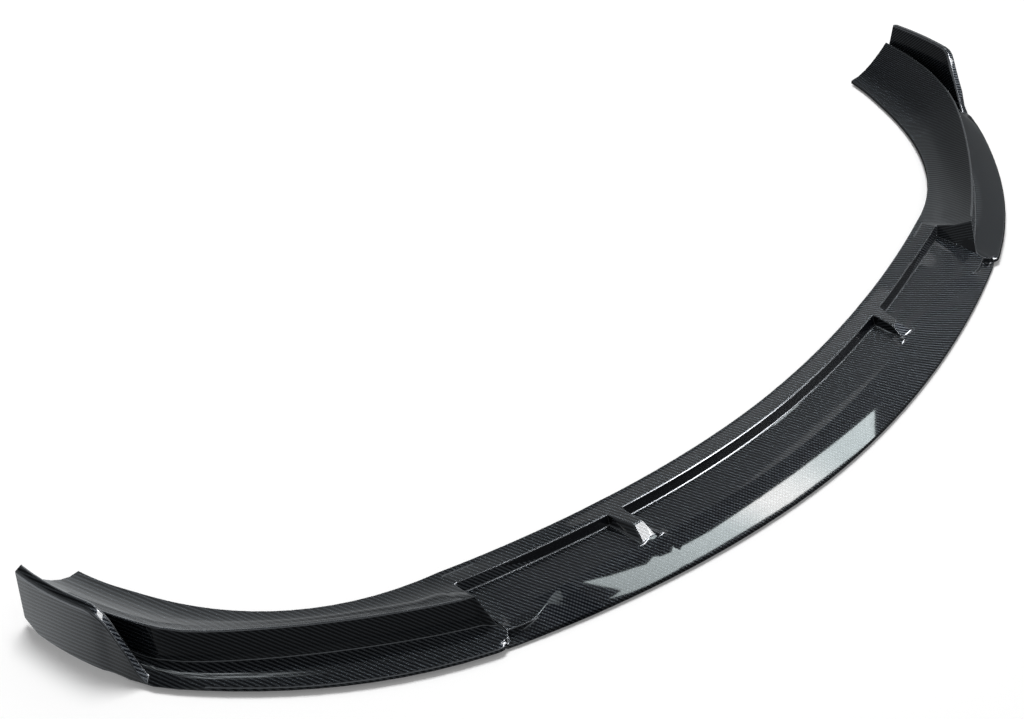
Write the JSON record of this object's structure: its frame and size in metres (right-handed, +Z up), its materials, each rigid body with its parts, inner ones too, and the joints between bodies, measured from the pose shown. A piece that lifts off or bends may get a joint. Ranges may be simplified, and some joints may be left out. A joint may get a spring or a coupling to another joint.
{
  "type": "front splitter lip",
  "caption": "Crescent-shaped front splitter lip with a rear mounting flange, stiffening ribs, swept arms with concave bands and upright fins at the rear ends.",
  "frame": {"origin": "middle of the footprint, on the floor plane the lip stands on", "axes": "+X across the car towards its left side, +Y from the nose back towards the arms' rear ends, +Z up"},
  "size_m": [1.768, 0.548, 0.0981],
  "materials": {
    "carbon_look": "gloss black moulded plastic with a fine carbon twill pattern under clear lacquer"
  },
  "bodies": {
    "root": {"splitter_lip": "carbon_look"}
  },
  "joints": []
}
